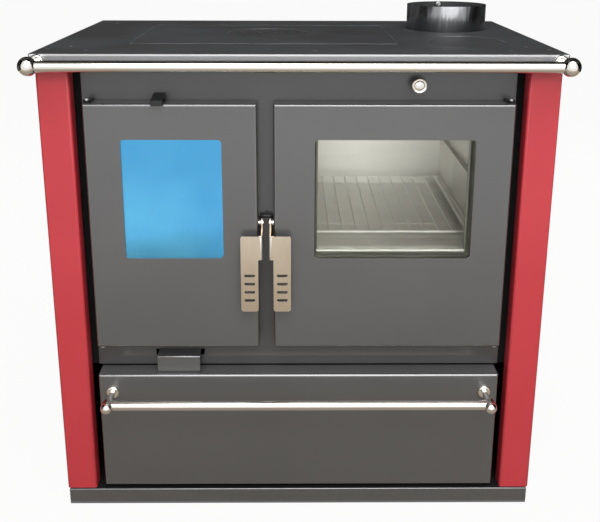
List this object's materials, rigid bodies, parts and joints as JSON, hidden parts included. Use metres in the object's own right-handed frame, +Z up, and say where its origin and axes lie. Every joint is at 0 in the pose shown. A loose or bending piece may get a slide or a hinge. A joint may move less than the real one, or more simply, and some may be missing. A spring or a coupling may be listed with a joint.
{
  "type": "wood-burning cook stove",
  "caption": "Steel wood-burning cook stove with a glazed firebox door, a glazed oven door, a plate cooktop with lids and flue collar, rails, air controls and a wood drawer.",
  "frame": {"origin": "on the floor, under the middle of the bounding box", "axes": "+Z up along the flue collar's axis, -Y towards the person who stands in front of the doors, +X to that person's right"},
  "size_m": [0.8003, 0.6165, 0.8215],
  "materials": {
    "cladding_red": "satin enamel",
    "body_enamel": "satin heat-proof paint",
    "control_enamel": "satin heat-proof paint",
    "body_steel": "matt black",
    "hob_steel": "ground and blackened",
    "cast_iron": "as cast",
    "collar_steel": "satin heat-proof paint",
    "oven_steel": "brushed",
    "firebrick": "matt fireclay",
    "polished_steel": "polished",
    "chrome": "mirror",
    "fastener_steel": "zinc plated",
    "glass": "clear",
    "rope_seal": "woven"
  },
  "bodies": {
    "stove": {"plinth": "body_enamel", "base_plate": "body_enamel", "left_side_panel": "cladding_red", "right_side_panel": "cladding_red", "rear_panel": "body_enamel", "rear_panel_screws": "fastener_steel", "hob_rim_frame": "body_enamel", "hob_plate": "hob_steel", "hob_screws": "fastener_steel", "insert_support": "body_steel", "flue_collar": "collar_steel", "collar_screw": "fastener_steel", "front_panel": "body_enamel", "inner_front_wall": "body_steel", "inner_left_wall": "body_steel", "inner_right_wall": "body_steel", "inner_rear_wall": "body_steel", "middle_shelf": "body_steel", "firebox_side_walls": "body_steel", "ash_floor": "body_steel", "grate_support": "body_steel", "firebox_grate": "cast_iron", "side_firebricks": "firebrick", "rear_firebricks": "firebrick", "oven_box": "oven_steel", "oven_runners": "oven_steel", "smoke_baffle": "body_steel", "hinge_brackets": "control_enamel", "hinge_pins": "fastener_steel", "latch_keeper": "control_enamel", "drawer_runners": "body_steel", "top_rail": "chrome", "top_rail_ends": "chrome"},
    "firebox_door": {"firebox_door_panel": "body_enamel", "firebox_door_liner": "body_steel", "firebox_glass": "glass", "firebox_glass_clips": "fastener_steel", "firebox_door_seal": "rope_seal", "firebox_latch_pin": "polished_steel"},
    "firebox_handle": {"firebox_door_handle": "polished_steel"},
    "secondary_air": {"secondary_air_tab": "control_enamel"},
    "oven_door": {"oven_door_panel": "body_enamel", "oven_door_liner": "body_steel", "oven_glass": "glass", "oven_glass_clips": "fastener_steel", "oven_door_seal": "rope_seal", "oven_latch_pin": "polished_steel"},
    "oven_handle": {"oven_door_handle": "polished_steel"},
    "primary_air": {"primary_air_tab": "control_enamel"},
    "damper": {"damper_knob": "chrome", "damper_plate": "body_steel"},
    "drawer": {"drawer_front": "body_enamel", "drawer_box": "body_steel", "drawer_rail": "chrome", "drawer_rail_ends": "chrome"},
    "insert": {"hob_insert": "hob_steel"},
    "ring": {"ring_lid": "hob_steel"},
    "lid": {"access_lid": "hob_steel"},
    "ash": {"ash_pan": "body_steel"},
    "rack": {"oven_rack": "oven_steel"}
  },
  "joints": [
    {"name": "firebox_door_hinge", "type": "hinge", "parent": "stove", "child": "firebox_door", "pos_m": [-0.3248, -0.20925, 0.4975], "axis": [0, 0, 1], "range_deg": [-100, 0]},
    {"name": "firebox_handle_lift", "type": "hinge", "parent": "firebox_door", "child": "firebox_handle", "pos_m": [-0.0593, -0.20625, 0.505], "axis": [1, 0, 0], "range_deg": [-50, 0]},
    {"name": "secondary_air_slide", "type": "slide", "parent": "firebox_door", "child": "secondary_air", "axis": [1, 0, 0], "range_m": [-0.02, 0.02]},
    {"name": "oven_door_hinge", "type": "hinge", "parent": "stove", "child": "oven_door", "pos_m": [0.3248, -0.20925, 0.4975], "axis": [0, 0, 1], "range_deg": [0, 100]},
    {"name": "oven_handle_lift", "type": "hinge", "parent": "oven_door", "child": "oven_handle", "pos_m": [-0.0458, -0.20625, 0.505], "axis": [1, 0, 0], "range_deg": [-50, 0]},
    {"name": "primary_air_slide", "type": "slide", "parent": "stove", "child": "primary_air", "axis": [0, -1, 0], "range_m": [0, 0.03]},
    {"name": "damper_pull", "type": "slide", "parent": "stove", "child": "damper", "axis": [0, -1, 0], "range_m": [0, 0.06]},
    {"name": "drawer_slide", "type": "slide", "parent": "stove", "child": "drawer", "axis": [0, -1, 0], "range_m": [0, 0.36]},
    {"name": "insert_lift", "type": "slide", "parent": "stove", "child": "insert", "axis": [0, 0, 1], "range_m": [0, 0.06]},
    {"name": "ring_lid_lift", "type": "slide", "parent": "insert", "child": "ring", "axis": [0, 0, 1], "range_m": [0, 0.06]},
    {"name": "access_lid_lift", "type": "slide", "parent": "stove", "child": "lid", "axis": [0, 0, 1], "range_m": [0, 0.06]},
    {"name": "ash_pan_slide", "type": "slide", "parent": "stove", "child": "ash", "axis": [0, -1, 0], "range_m": [0, 0.02]},
    {"name": "oven_rack_slide", "type": "slide", "parent": "stove", "child": "rack", "axis": [0, -1, 0], "range_m": [0, 0.035]}
  ]
}
